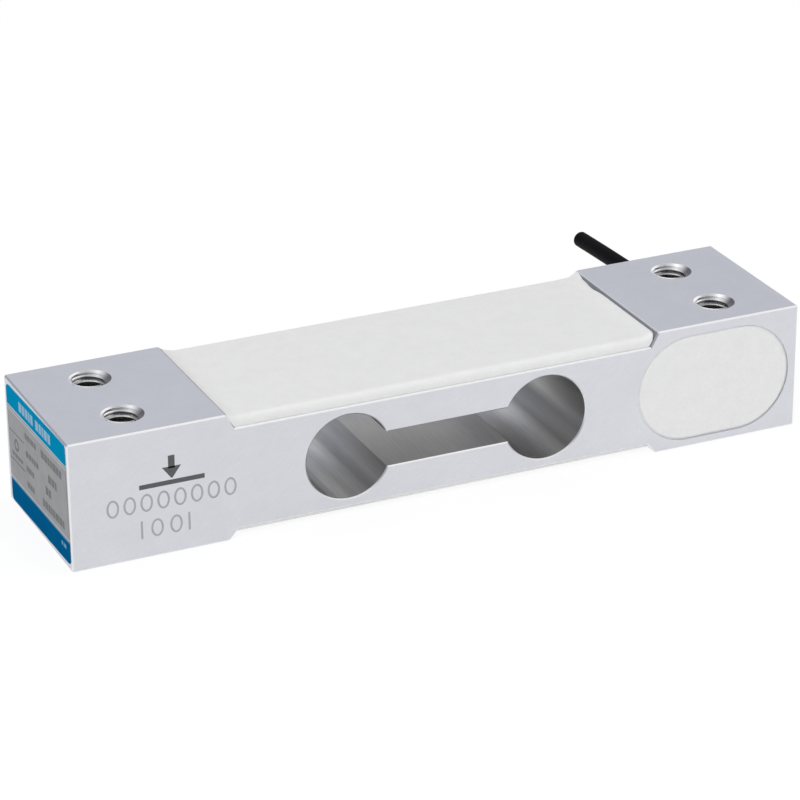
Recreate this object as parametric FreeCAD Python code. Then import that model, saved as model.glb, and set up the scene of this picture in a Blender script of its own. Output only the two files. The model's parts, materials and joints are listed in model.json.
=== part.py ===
import FreeCAD, Part
import math
import os

# Single point load cell: an aluminium binocular beam with four strain gauges under silicone,
# a potted bridge board in its side and a screened four-core cable out of its back face.
# Millimetres. X runs along the beam from the load end to the cable end, Z is up.
# The origin is the middle of the beam's underside.

V = FreeCAD.Vector

# ---- driving dimensions ----
LENGTH, WIDTH, HEIGHT = 130.0, 30.0, 22.0
EDGE_BREAK = 0.25            # chamfer on the outer edges of the beam

# shallow recesses above and below the strain section, with sloping ends
TOP_DEPTH, TOP_HALF, TOP_RUN = 2.5, 37.0, 1.4
UNDER_DEPTH, UNDER_HALF, UNDER_RUN = 1.8, 36.8, 1.6

# binocular opening: two bores joined by a slot
BORE_R, BORE_X, BORE_Z = 7.4, 17.6, 10.6
SLOT_HEIGHT = 6.1
RIM_BREAK = 0.2

# M6 threaded holes right through both end blocks
BOLT_X, BOLT_SPACING = 53.0, 15.0
BOLT_R, COUNTERSINK_R = 3.0, 3.5

# potted cavity in the front side, a full-round slot
CAVITY_X, CAVITY_Z = 49.2, 10.8
CAVITY_LENGTH, CAVITY_HEIGHT, CAVITY_DEPTH = 28.6, 18.9, 3.6
WIRE_HOLE_X, WIRE_HOLE_Y, WIRE_HOLE_R = 35.8, -13.1, 1.1

# cable and the bore that it leaves through
CABLE_X, CABLE_Z = 60.0, 10.8
CABLE_BORE_R = 2.1
JACKET_R, JACKET_WALL = 1.45, 0.45
SHIELD_WALL = 0.1
CORE_R, CORE_PITCH = 0.35, 0.36
CORE_CORNER = 0.7              # how far each side of a corner a core's bend begins
SHIELD_SIDES, CORE_SIDES, WIRE_SIDES = 12, 8, 6
CABLE_START_Y = -11.0
CABLE_ROUTE = [                # bore, then out of the back face with a slight droop to the cut end
    (CABLE_X, CABLE_START_Y, CABLE_Z),
    (CABLE_X, 19.5, CABLE_Z),
    (CABLE_X, 37.0, CABLE_Z - 0.15),
    (CABLE_X - 0.1, 54.5, CABLE_Z - 1.0),
]
CRIMP_R, CRIMP_LENGTH = 2.05, 3.5
SEALANT_LENGTH = 6.0

# strain gauges, one over and one under each bore
GAUGE_LENGTH, GAUGE_WIDTH = 9.0, 6.0
CARRIER_THICK, FOIL_THICK = 0.1, 0.06
STRANDS, STRAND_PITCH, STRAND_WIDTH, STRAND_HALF = 8, 0.5, 0.28, 2.5
TAB_START, TAB_END, TAB_INNER, TAB_OUTER = 2.9, 4.2, 0.9, 2.5
TAB_X, TAB_Y = 3.5, 1.7        # middle of a solder tab, from the gauge's centre

# enamelled wires from the gauges to the bridge board
WIRE_R, WIRE_GAP = 0.13, 0.03
WIRE_SPOTS = [(0.0, -0.5), (-0.5, 0.25), (0.5, 0.3)]     # where the three pass through the hole
WIRE_PADS = [1.9, 0.7, 3.1]    # heights of their pads above and below the middle of the board
WIRE_PAD_X = 41.1

# bridge board on the cavity floor
BOARD_X0, BOARD_X1, BOARD_Z0, BOARD_Z1, BOARD_THICK = 40.0, 52.0, 6.3, 15.3, 0.8
CORE_PADS = {"red": 14.0, "black": 11.9, "green": 9.8, "white": 7.7}
RESISTOR_SIZE = (2.0, 0.55, 1.25)
RESISTOR_X, RESISTOR_Z = 45.6, (8.2, 10.8, 13.4)
CORE_JOINT, WIRE_JOINT, JOINT_SIDES = (0.75, 0.4, 0.8), (0.42, 0.22, 0.4), 8   # base, top, height
CORE_PAD_X = 51.0

# silicone
PAD_HEIGHT, PAD_INSET, PAD_ROUND = 1.75, 0.35, 0.9
COAT_HEIGHT, COAT_INSET = 0.8, 0.6
POTTING_LIP = 0.15             # the filling is this far below the face at its rim

# label on the load end
LABEL_LENGTH, LABEL_HEIGHT, LABEL_THICK, LABEL_CORNER = 28.0, 20.4, 0.12, 0.8
LABEL_Y, LABEL_Z, LABEL_TILT = -0.35, 11.1, 1.2

# ---- values worked out from them ----
END_X = LENGTH / 2
FRONT, BACK = -WIDTH / 2, WIDTH / 2
TOP_FLOOR = HEIGHT - TOP_DEPTH
CAVITY_FLOOR = FRONT + CAVITY_DEPTH
BOARD_FACE = CAVITY_FLOOR - BOARD_THICK
OVERRUN = 1.0                  # how far a cutter runs past a face


# ---- plain solids ----
def block(x0, x1, y0, y1, z0, z1):
    """A box between two corners."""
    return Part.makeBox(x1 - x0, y1 - y0, z1 - z0, V(x0, y0, z0))


def prism_along_y(outline, y0, y1):
    """A closed outline of (x, z) points, carried from y0 to y1."""
    points = [V(x, y0, z) for x, z in outline]
    return Part.Face(Part.makePolygon(points + points[:1])).extrude(V(0, y1 - y0, 0))


def cylinder_along_y(x, z, radius, y0, y1):
    return Part.makeCylinder(radius, y1 - y0, V(x, y0, z), V(0, 1, 0))


def cylinder_along_z(x, y, radius, z0, z1):
    return Part.makeCylinder(radius, z1 - z0, V(x, y, z0))


def cone_from_face(centre, inward, outer, inner, depth):
    """A cutter that widens a round hole from inner to outer radius at the face it opens on."""
    start = centre - inward * OVERRUN
    slope = (outer - inner) / depth
    return Part.makeCone(outer + slope * OVERRUN, inner, depth + OVERRUN, start, inward)


def stadium(x, z, length, height, y0, y1):
    """A slot with full-round ends, lying along X and carried from y0 to y1."""
    r, half = height / 2, (length - height) / 2
    a, b = V(x - half, y0, z + r), V(x + half, y0, z + r)
    c, d = V(x + half, y0, z - r), V(x - half, y0, z - r)
    outline = Part.Wire([
        Part.makeLine(a, b), Part.Arc(b, V(x + half + r, y0, z), c).toShape(),
        Part.makeLine(c, d), Part.Arc(d, V(x - half - r, y0, z), a).toShape(),
    ])
    return Part.Face(outline).extrude(V(0, y1 - y0, 0))


def joined(shapes):
    """One solid out of several that meet."""
    whole = shapes[0].multiFuse(shapes[1:])
    return whole.removeSplitter()


# ---- wires and tubes ----
def rounded_path(points):
    """Straight runs joined by tangent arcs, each as large as the two runs beside it allow, and
    the radii of the arcs."""
    points = [V(*p) for p in points]
    edges, radii, here = [], [], points[0]
    for before, corner, after in zip(points, points[1:], points[2:]):
        back, ahead = (before - corner), (after - corner)
        half_turn = (math.pi - back.getAngle(ahead)) / 2
        reach = 0.45 * min(back.Length, ahead.Length)
        radius = reach / math.tan(half_turn)
        radii.append(radius)
        back.normalize()
        ahead.normalize()
        start, end = corner + back * reach, corner + ahead * reach
        towards = (back + ahead).normalize()
        middle = corner + towards * (radius / math.cos(half_turn) - radius)
        edges += [Part.makeLine(here, start), Part.Arc(start, middle, end).toShape()]
        here = end
    edges.append(Part.makeLine(here, points[-1]))
    return Part.Wire(edges), radii


def bevelled(points, reach):
    """The same points with every corner between them cut off."""
    points = [V(*p) for p in points]
    out = points[:1]
    for before, corner, after in zip(points, points[1:], points[2:]):
        out += [corner + (end - corner).normalize() * reach for end in (before, after)]
    return out + points[-1:]


def polygon_section(centre, direction, radius, sides):
    """A regular outline square to a direction; a few sides stand in for a hair-thin round."""
    direction = V(direction).normalize()
    across = direction.cross(V(0, 0, 1))
    if across.Length < 1e-3:
        across = V(1, 0, 0)
    across.normalize()
    up = across.cross(direction)
    turns = [2 * math.pi * (i + 0.5) / sides for i in range(sides)]
    points = [centre + across * (radius * math.cos(t)) + up * (radius * math.sin(t)) for t in turns]
    return Part.makePolygon(points + points[:1])


def thin_rod(points, radius, sides):
    """A rod of few sides with mitred bends."""
    points = [V(*p) for p in points]
    section = polygon_section(points[0], points[1] - points[0], radius, sides)
    return Part.makePolygon(points).makePipeShell([section], True, False, 1)


def along_cable(section_at, dx=0.0, dz=0.0):
    """A rod along the cable's path; section_at gives its outline at the inner end."""
    x, y, z = CABLE_ROUTE[0]
    path, _ = rounded_path([(px + dx, py, pz + dz) for px, py, pz in CABLE_ROUTE])
    return path.makePipeShell([section_at(V(x + dx, y, z + dz), V(0, 1, 0))], True, False, 0)


def cable_round(radius):
    return along_cable(lambda centre, axis: Part.Wire([Part.makeCircle(radius, centre, axis)]))


def cable_polygon(radius, sides, dx=0.0, dz=0.0):
    return along_cable(lambda centre, axis: polygon_section(centre, axis, radius, sides), dx, dz)


# ---- the beam ----
def beam_outline():
    """The side view, with the sloping ends of both recesses."""
    right = [
        (UNDER_HALF + UNDER_RUN, 0), (END_X, 0), (END_X, HEIGHT),
        (TOP_HALF + TOP_RUN, HEIGHT), (TOP_HALF, TOP_FLOOR),
    ]
    left = [(-x, z) for x, z in reversed(right)]
    return right + left + [(-UNDER_HALF, UNDER_DEPTH), (UNDER_HALF, UNDER_DEPTH)]


def beam_body():
    body = prism_along_y(beam_outline(), FRONT, BACK)
    on_sides = [e for e in body.Edges if all(abs(abs(v.Y) - BACK) < 1e-6 for v in e.Vertexes)
                and e.BoundBox.YLength < 1e-6]
    across = [e for e in body.Edges if e.BoundBox.YLength > WIDTH / 2
              and (abs(e.CenterOfMass.z - HEIGHT) < 1e-6 or abs(e.CenterOfMass.z) < 1e-6)]
    return body.makeChamfer(EDGE_BREAK, on_sides + across)


def binocular_opening():
    """Both bores and the slot between them, with the broken rims on the two sides."""
    half_slot = SLOT_HEIGHT / 2
    cutters = [block(-BORE_X, BORE_X, FRONT - OVERRUN, BACK + OVERRUN,
                     BORE_Z - half_slot, BORE_Z + half_slot)]
    wide = half_slot + RIM_BREAK + OVERRUN
    for x in (-BORE_X, BORE_X):
        cutters.append(cylinder_along_y(x, BORE_Z, BORE_R, FRONT - OVERRUN, BACK + OVERRUN))
        for y, inward in ((FRONT, V(0, 1, 0)), (BACK, V(0, -1, 0))):
            rim = V(x, y, BORE_Z)
            cutters.append(cone_from_face(rim, inward, BORE_R + RIM_BREAK, BORE_R, RIM_BREAK))
    for y, inward in ((FRONT, 1), (BACK, -1)):
        mouth = [V(-BORE_X, y - inward * OVERRUN, BORE_Z + wide),
                 V(-BORE_X, y - inward * OVERRUN, BORE_Z - wide),
                 V(-BORE_X, y + inward * RIM_BREAK, BORE_Z - half_slot),
                 V(-BORE_X, y + inward * RIM_BREAK, BORE_Z + half_slot)]
        face = Part.Face(Part.makePolygon(mouth + mouth[:1]))
        cutters.append(face.extrude(V(2 * BORE_X, 0, 0)))
    return joined(cutters)


def bolt_hole(x, y):
    """A through hole with a countersink at each mouth; the thread itself is left out."""
    depth = COUNTERSINK_R - BOLT_R
    hole = cylinder_along_z(x, y, BOLT_R, -OVERRUN, HEIGHT + OVERRUN)
    top = cone_from_face(V(x, y, HEIGHT), V(0, 0, -1), COUNTERSINK_R, BOLT_R, depth)
    under = cone_from_face(V(x, y, 0), V(0, 0, 1), COUNTERSINK_R, BOLT_R, depth)
    return joined([hole, top, under])


def cable_bore():
    """From the floor of the cavity to the back face, with a broken rim there."""
    hole = cylinder_along_y(CABLE_X, CABLE_Z, CABLE_BORE_R, CAVITY_FLOOR - OVERRUN, BACK + OVERRUN)
    rim = cone_from_face(V(CABLE_X, BACK, CABLE_Z), V(0, -1, 0),
                         CABLE_BORE_R + EDGE_BREAK, CABLE_BORE_R, EDGE_BREAK)
    return joined([hole, rim])


def beam():
    cutters = [binocular_opening(), cable_bore(),
               stadium(CAVITY_X, CAVITY_Z, CAVITY_LENGTH, CAVITY_HEIGHT,
                       FRONT - OVERRUN, CAVITY_FLOOR),
               cylinder_along_z(WIRE_HOLE_X, WIRE_HOLE_Y, WIRE_HOLE_R, 0, HEIGHT)]
    for x in (-BOLT_X, BOLT_X):
        for y in (-BOLT_SPACING / 2, BOLT_SPACING / 2):
            cutters.append(bolt_hole(x, y))
    body = beam_body()
    for cutter in cutters:
        body = body.cut(cutter)
    return body


# ---- strain gauges ----
# A gauge is made lying on z = 0 with its tabs towards +X, then turned and seated on its surface.
def gauge_carrier():
    half_length, half_width = GAUGE_LENGTH / 2, GAUGE_WIDTH / 2
    return block(-half_length, half_length, -half_width, half_width, 0, CARRIER_THICK)


def gauge_foil():
    """A grid of strands joined at alternate ends, with two solder tabs."""
    low, high = CARRIER_THICK, CARRIER_THICK + FOIL_THICK
    half = STRAND_WIDTH / 2
    rows = [(i - (STRANDS - 1) / 2) * STRAND_PITCH for i in range(STRANDS)]
    pieces = []
    for i, y in enumerate(rows):
        outer = i in (0, STRANDS - 1)
        end = TAB_START if outer else STRAND_HALF
        pieces.append(block(-STRAND_HALF, end, y - half, y + half, low, high))
        if i + 1 < STRANDS:
            x = -STRAND_HALF if i % 2 == 0 else STRAND_HALF - STRAND_WIDTH
            pieces.append(block(x, x + STRAND_WIDTH, y - half, rows[i + 1] + half, low, high))
    for side in (-1, 1):
        y0, y1 = sorted((side * TAB_INNER, side * TAB_OUTER))
        pieces.append(block(TAB_START, TAB_END, y0, y1, low, high))
    return joined(pieces)


def seated(shape, face, side):
    """Puts a shape made on z = 0 over the left or right bore, on the top floor or the underside."""
    shape = shape.copy()
    if side == "right":
        shape = shape.mirror(V(0, 0, 0), V(1, 0, 0))
    if face == "under":
        shape = shape.mirror(V(0, 0, 0), V(0, 0, 1))
    x = BORE_X if side == "right" else -BORE_X
    shape.translate(V(x, 0, TOP_FLOOR if face == "top" else UNDER_DEPTH))
    return shape


def gauge_wires(face):
    """A jumper between the two gauges and three wires through the wire hole to the board."""
    on_tab = CARRIER_THICK + FOIL_THICK + WIRE_R + WIRE_GAP
    on_floor = WIRE_R + WIRE_GAP
    base, up = (TOP_FLOOR, 1) if face == "top" else (UNDER_DEPTH, -1)
    tab = BORE_X - TAB_X
    jumper = [(-tab, TAB_Y, base + up * on_tab), (tab - 0.4, TAB_Y - 0.2, base + up * on_tab)]
    runs = [
        [(-tab, -TAB_Y, on_tab), (-9.0, -7.0, on_floor), (30.0, -11.0, on_floor)],
        [(tab, -TAB_Y, on_tab), (12.0, -4.6, on_floor), (24.0, -6.4, on_floor),
         (31.5, -9.8, on_floor)],
        [(tab + 0.3, TAB_Y + 0.3, on_tab), (15.0, 4.8, on_floor), (25.0, 4.0, on_floor),
         (33.4, -8.8, on_floor)],
    ]
    wires = [thin_rod(jumper, WIRE_R, WIRE_SIDES)]
    for i, (run, (dx, dy), pad) in enumerate(zip(runs, WIRE_SPOTS, WIRE_PADS)):
        x, y = WIRE_HOLE_X + dx, WIRE_HOLE_Y + dy
        pad_z = CAVITY_Z + up * pad
        points = [(px, py, base + up * height) for px, py, height in run]
        points += [
            (x, y, base + up * (on_floor + 0.3 * i)),
            (x, y, pad_z + up * 0.4),
            (WIRE_PAD_X - 2.5, BOARD_FACE - 0.6, pad_z),
            (WIRE_PAD_X, BOARD_FACE - on_floor, pad_z),
        ]
        wires.append(thin_rod(points, WIRE_R, WIRE_SIDES))
    return wires


# ---- the cavity ----
def bridge_board():
    return block(BOARD_X0, BOARD_X1, BOARD_FACE, CAVITY_FLOOR, BOARD_Z0, BOARD_Z1)


def trim_resistors():
    length, thick, width = RESISTOR_SIZE
    return [block(RESISTOR_X - length / 2, RESISTOR_X + length / 2, BOARD_FACE - thick, BOARD_FACE,
                  z - width / 2, z + width / 2) for z in RESISTOR_Z]


def core(name):
    """One insulated core, from its pad on the board, round into the bore and out to the cut end."""
    crosses_over = name in ("red", "white")     # these two pass outside the other two
    dx = CORE_PITCH if crosses_over else -CORE_PITCH
    dz = CORE_PITCH if CORE_PADS[name] > CABLE_Z else -CORE_PITCH
    depth = CAVITY_FLOOR - (2.45 if crosses_over else 1.6)
    pad_z = CORE_PADS[name]
    inside = [
        (CABLE_X + dx, CABLE_START_Y, CABLE_Z + dz),
        (CABLE_X + dx, depth, CABLE_Z + dz),
        (CORE_PAD_X + 2.8, depth, pad_z + (CABLE_Z - pad_z) * 0.1),
        (CORE_PAD_X + 0.3, BOARD_FACE - CORE_R - WIRE_GAP, pad_z),
    ]
    return joined([thin_rod(bevelled(inside, CORE_CORNER), CORE_R, CORE_SIDES),
                   cable_polygon(CORE_R, CORE_SIDES, dx, dz)])


def solder_joint(x, z, size):
    """A small faceted cone of solder on the board."""
    base, top, height = size
    foot, head = [[v.Point for v in polygon_section(V(x, y, z), V(0, 1, 0), radius, JOINT_SIDES).Vertexes]
                  for y, radius in ((BOARD_FACE, base), (BOARD_FACE - height, top))]
    outlines = [foot, head]
    for i in range(JOINT_SIDES):
        outlines.append([foot[i - 1], foot[i], head[i], head[i - 1]])
    faces = [Part.Face(Part.makePolygon(points + points[:1])) for points in outlines]
    return Part.makeSolid(Part.makeShell(faces))


def solder_joints(held):
    """One on each pad, around the end of the core or wire that it holds."""
    joints = [solder_joint(CORE_PAD_X, z, CORE_JOINT) for z in CORE_PADS.values()]
    joints += [solder_joint(WIRE_PAD_X, CAVITY_Z + up * pad, WIRE_JOINT)
               for up in (-1, 1) for pad in WIRE_PADS]
    return [joint.cut(held) for joint in joints]


# ---- the cable ----
def cable_jacket():
    return cable_round(JACKET_R).cut(cable_polygon(JACKET_R - JACKET_WALL, SHIELD_SIDES))


def cable_shield():
    outer = JACKET_R - JACKET_WALL
    return cable_polygon(outer, SHIELD_SIDES).cut(cable_polygon(outer - SHIELD_WALL, SHIELD_SIDES))


def crimp_ring():
    """A six-sided ferrule that keeps the jacket from being pulled through."""
    start = V(CABLE_X, CABLE_START_Y, CABLE_Z)
    hexagon = Part.Face(polygon_section(start, V(0, 1, 0), CRIMP_R, 6))
    ferrule = hexagon.extrude(V(0, CRIMP_LENGTH, 0))
    return ferrule.cut(cylinder_along_y(CABLE_X, CABLE_Z, JACKET_R, CABLE_START_Y - OVERRUN, 0))


def cable_sealant():
    y0, y1 = BACK - EDGE_BREAK - SEALANT_LENGTH, BACK - EDGE_BREAK
    plug = cylinder_along_y(CABLE_X, CABLE_Z, CABLE_BORE_R, y0, y1)
    return plug.cut(cable_round(JACKET_R))


# ---- silicone and label ----
def recess_filling(half, run_per_height, base, rise, inset):
    """Silicone across a recess, from its floor to a given rise, ending on its slopes."""
    end = half + run_per_height * abs(rise)
    return prism_along_y([(-half, base), (half, base), (end, base + rise), (-end, base + rise)],
                         FRONT + inset, BACK - inset)


def top_pad(embedded):
    """Fills the top recess a little lower than the end blocks, with its long edges rounded."""
    pad = recess_filling(TOP_HALF, TOP_RUN / TOP_DEPTH, TOP_FLOOR, PAD_HEIGHT, PAD_INSET)
    long_edges = [e for e in pad.Edges if e.BoundBox.XLength > LENGTH / 2
                  and abs(e.CenterOfMass.z - TOP_FLOOR - PAD_HEIGHT) < 1e-6]
    return pad.makeFillet(PAD_ROUND, long_edges).cut(embedded)


def under_coat(embedded):
    """A thin coat over the lower gauges, inside the shallow relief."""
    return recess_filling(UNDER_HALF, UNDER_RUN / UNDER_DEPTH, UNDER_DEPTH, -COAT_HEIGHT,
                          COAT_INSET).cut(embedded)


def potting(embedded):
    """Fills the side cavity level with the face, falling off a little at its rim."""
    full = stadium(CAVITY_X, CAVITY_Z, CAVITY_LENGTH, CAVITY_HEIGHT, FRONT, CAVITY_FLOOR)
    rim = [e for e in full.Edges if abs(e.CenterOfMass.y - FRONT) < 1e-6]
    return full.makeChamfer(POTTING_LIP, rim).cut(embedded)


def label_film():
    film = block(-END_X - LABEL_THICK, -END_X, -LABEL_LENGTH / 2, LABEL_LENGTH / 2,
                 -LABEL_HEIGHT / 2, LABEL_HEIGHT / 2)
    corners = [e for e in film.Edges if e.BoundBox.XLength > LABEL_THICK / 2]
    film = film.makeFillet(LABEL_CORNER, corners)
    film.rotate(V(0, 0, 0), V(1, 0, 0), -LABEL_TILT)
    film.translate(V(0, LABEL_Y, LABEL_Z))
    return film


# ---- the whole part ----
def load_cell():
    """Every node's shape by its name."""
    nodes = {"beam": beam(), "label_film": label_film()}
    embedded = {"top": [], "under": []}
    for face in ("top", "under"):
        for side in ("left", "right"):
            for name, shape in (("gauge_carrier", gauge_carrier()), ("gauge_foil", gauge_foil())):
                nodes[f"{name}_{face}_{side}"] = placed = seated(shape, face, side)
                embedded[face].append(placed)
    wires = {face: gauge_wires(face) for face in ("top", "under")}
    cores = {name: core(name) for name in CORE_PADS}
    for face, group in wires.items():
        nodes[f"gauge_wires_{face}"] = Part.makeCompound(group)
    for name, shape in cores.items():
        nodes[f"core_{name}"] = shape
    all_wires = wires["top"] + wires["under"]
    board, resistors = bridge_board(), trim_resistors()
    held = list(cores.values()) + all_wires
    joints = solder_joints(held)
    nodes["bridge_board"] = board
    nodes["trim_resistors"] = Part.makeCompound(resistors)
    nodes["solder_joints"] = Part.makeCompound(joints)
    nodes["cable_jacket"] = cable_jacket()
    nodes["cable_shield"] = cable_shield()
    nodes["crimp_ring"] = crimp_ring()
    nodes["cable_sealant"] = cable_sealant()
    nodes["top_silicone_pad"] = top_pad(embedded["top"] + wires["top"])
    nodes["under_silicone_coat"] = under_coat(embedded["under"] + wires["under"])
    nodes["cavity_silicone"] = potting([board] + resistors + joints + held)
    return nodes


def main():
    os.makedirs("parts", exist_ok=True)
    for name, shape in load_cell().items():
        shape.exportStep(f"parts/{name}.step")
    _, radii = rounded_path(CABLE_ROUTE)
    print("arc radii of the cable, mm:", [round(radius) for radius in radii])


main()
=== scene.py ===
"""Single point load cell: metal finish, threads, silicone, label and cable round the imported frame.

Everything is in metres in the frame's own axes: X runs along the beam from the load end to the
cable end, Z is up, and the part stands on the plane z = 0. Only the marks and the print are laid
out in millimetres, on their own face. Shapes are given as arrays of points that a short formula
works out; each function says its formula in words."""

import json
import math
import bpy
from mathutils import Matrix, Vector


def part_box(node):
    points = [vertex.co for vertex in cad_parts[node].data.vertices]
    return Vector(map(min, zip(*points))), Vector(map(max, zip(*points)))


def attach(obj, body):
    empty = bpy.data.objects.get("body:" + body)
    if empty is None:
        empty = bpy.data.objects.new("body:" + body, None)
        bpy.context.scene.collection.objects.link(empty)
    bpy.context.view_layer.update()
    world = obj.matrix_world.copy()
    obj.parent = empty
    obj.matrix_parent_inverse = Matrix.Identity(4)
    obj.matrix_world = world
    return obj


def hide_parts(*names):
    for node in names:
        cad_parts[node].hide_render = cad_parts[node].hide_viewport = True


bl_info = {
    "name": "Single point load cell",
    "version": (1, 0, 0),
    "blender": (4, 5, 0),
    "location": "3D View > Sidebar > Load cell",
    "description": "Dresses the packed load cell and sets up its stage",
    "category": "Object",
}

import bmesh
import bpy
import numpy as np
from mathutils import Matrix, Vector

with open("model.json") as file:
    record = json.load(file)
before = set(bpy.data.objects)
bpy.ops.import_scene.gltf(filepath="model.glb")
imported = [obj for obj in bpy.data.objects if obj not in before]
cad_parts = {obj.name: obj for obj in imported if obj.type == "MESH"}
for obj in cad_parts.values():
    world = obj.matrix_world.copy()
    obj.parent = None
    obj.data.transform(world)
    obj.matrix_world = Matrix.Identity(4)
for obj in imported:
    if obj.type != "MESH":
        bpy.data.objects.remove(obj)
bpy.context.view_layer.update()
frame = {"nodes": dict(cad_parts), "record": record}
BODY = "root"
MM = 0.001


def srgb(red, green, blue):
    """A colour given as 0 to 255 display values, as the linear values that shaders take."""
    shares = [value / 255 for value in (red, green, blue)]
    return tuple(s / 12.92 if s <= 0.04045 else ((s + 0.055) / 1.055) ** 2.4 for s in shares)


# ---- places read from the frame ----
BEAM_LOW, BEAM_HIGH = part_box("beam")
BEAM_MIDDLE = Vector((0.0, 0.0, (BEAM_LOW.z + BEAM_HIGH.z) / 2))
PAD_LOW, PAD_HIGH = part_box("top_silicone_pad")
COAT_LOW, COAT_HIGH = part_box("under_silicone_coat")
POTTING_LOW, POTTING_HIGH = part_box("cavity_silicone")
FILM_LOW, FILM_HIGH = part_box("label_film")
FILM_MIDDLE = (FILM_LOW + FILM_HIGH) / 2
SEAL_LOW, SEAL_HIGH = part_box("cable_sealant")
BOARD_LOW, BOARD_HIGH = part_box("bridge_board")
MOUNTS = {mount["name"]: mount for mount in frame["record"]["mounts"]}
OPENINGS = {space["name"]: space["box_m"] for space in frame["record"]["physics"]["openings"]}

HOLE_X = MOUNTS["fixed_end_holes"]["pos_m"][0]
HOLE_Y = MOUNTS["fixed_end_holes"]["dims"]["spacing_y_mm"] * MM / 2
HOLE_RADIUS = MOUNTS["fixed_end_holes"]["dims"]["hole_r_mm"] * MM
BORE_X = (OPENINGS["flexure_bore_right"][0][0] + OPENINGS["flexure_bore_right"][1][0]) / 2
BORE_Z = (OPENINGS["flexure_bore_right"][0][2] + OPENINGS["flexure_bore_right"][1][2]) / 2
BORE_RADIUS, SLOT_HALF_HEIGHT, RIM_BREAK = 7.4 * MM, 3.05 * MM, 0.2 * MM
COUNTERSINK_RADIUS = 3.5 * MM
RECESS_HALF = 37.0 * MM
LABEL_TILT = math.radians(1.2)
EDGE_FADE = 0.02 * MM
NO_LIMIT = 1.0
MERGE_DISTANCE = 1e-7
WHITE = (1.0, 1.0, 1.0, 1.0)

# ---- cable: the same route as the solid tube ----
CABLE_ROUTE = [(0.060, -0.011, 0.0108), (0.060, 0.0195, 0.0108),
               (0.060, 0.037, 0.01065), (0.0599, 0.0545, 0.0098)]
CABLE_EXIT = (0.060, 0.015, 0.0108)
JACKET_RADIUS, JACKET_BORE = 1.45 * MM, 1.0 * MM
SHIELD_BORE = 0.9 * MM
CORE_RADIUS, CORE_PITCH = 0.35 * MM, 0.36 * MM
TWIST_START = 12.0 * MM
CORE_PADS = {"red": 14.0 * MM, "black": 11.9 * MM, "green": 9.8 * MM, "white": 7.7 * MM}


# ---- values that a user may change ----
class LoadCellSizes(bpy.types.PropertyGroup):
    thread_pitch: bpy.props.FloatProperty(
        name="Thread pitch", description="Rise of the M6 thread in one turn",
        default=1.0 * MM, unit="LENGTH", precision=5)
    thread_crest: bpy.props.FloatProperty(
        name="Thread crest radius", description="Radius that the thread's ridges leave free",
        default=2.5 * MM, unit="LENGTH", precision=5)
    pad_edge: bpy.props.FloatProperty(
        name="Pad edge radius", description="Roundness of the top silicone along its long edges",
        default=0.95 * MM, unit="LENGTH", precision=5)
    pad_gap: bpy.props.FloatProperty(
        name="Pad gap", description="How far the top silicone stands off the cable end's slope",
        default=0.13 * MM, unit="LENGTH", precision=5)
    silicone_waves: bpy.props.FloatProperty(
        name="Silicone waves", description="Height of the slow waves on poured silicone",
        default=0.015 * MM, unit="LENGTH", precision=5)
    potting_dip: bpy.props.FloatProperty(
        name="Potting dip", description="How far the side silicone sinks where it meets its rim",
        default=0.3 * MM, unit="LENGTH", precision=5)
    core_lay: bpy.props.FloatProperty(
        name="Core lay", description="Length of one turn of the twisted cores",
        default=22.0 * MM, unit="LENGTH", precision=4)
    print_thickness: bpy.props.FloatProperty(
        name="Print thickness", description="Thickness of the marks on the beam and the label",
        default=0.012 * MM, unit="LENGTH", precision=6)


class LoadCellColours(bpy.types.PropertyGroup):
    aluminium: bpy.props.FloatVectorProperty(
        name="Aluminium", description="Clear anodised faces", subtype="COLOR",
        default=(0.80, 0.81, 0.85))
    bore_wall: bpy.props.FloatVectorProperty(
        name="Bore wall", description="Bare metal inside the two bores and the slot",
        subtype="COLOR", default=srgb(177, 176, 175))
    silicone: bpy.props.FloatVectorProperty(
        name="Silicone", description="White silicone over the gauges and in the side cavity",
        subtype="COLOR", default=srgb(244, 244, 244))
    film: bpy.props.FloatVectorProperty(
        name="Label film", description="Silver film of the label", subtype="COLOR",
        default=srgb(166, 166, 168))
    header: bpy.props.FloatVectorProperty(
        name="Label header", description="Upper band of the label", subtype="COLOR",
        default=srgb(0, 148, 194))
    footer: bpy.props.FloatVectorProperty(
        name="Label footer", description="Lower band of the label", subtype="COLOR",
        default=srgb(0, 98, 150))
    jacket: bpy.props.FloatVectorProperty(
        name="Cable jacket", description="Black PVC of the cable", subtype="COLOR",
        default=srgb(12, 12, 14))
    laser_mark: bpy.props.FloatVectorProperty(
        name="Dark mark", description="Dark load symbol on the front side", subtype="COLOR",
        default=srgb(88, 91, 91))


class LoadCellView(bpy.types.PropertyGroup):
    azimuth: bpy.props.FloatProperty(
        name="Azimuth", description="Turn of the camera round the part", subtype="ANGLE",
        default=math.radians(-24.362))
    elevation: bpy.props.FloatProperty(
        name="Elevation", description="Height of the camera above the horizon", subtype="ANGLE",
        default=math.radians(24.389))
    roll: bpy.props.FloatProperty(
        name="Roll", description="Turn of the camera about its own line of sight",
        subtype="ANGLE", default=math.radians(-0.401))
    distance: bpy.props.FloatProperty(
        name="Distance", description="From the camera to the middle of the beam",
        default=0.576659, unit="LENGTH")
    offset: bpy.props.FloatVectorProperty(
        name="Offset", description="Shift of the camera to its right and upwards", size=2,
        default=(-1.602 * MM, 0.02 * MM), unit="LENGTH", precision=6)
    lens: bpy.props.FloatProperty(
        name="Lens", description="Focal length in millimetres on a 36 mm sensor",
        default=156.54)


def sizes():
    """The shape values that a user may change."""
    return bpy.context.scene.load_cell_sizes


def colours():
    """The colours that a user may change."""
    return bpy.context.scene.load_cell_colours


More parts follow.
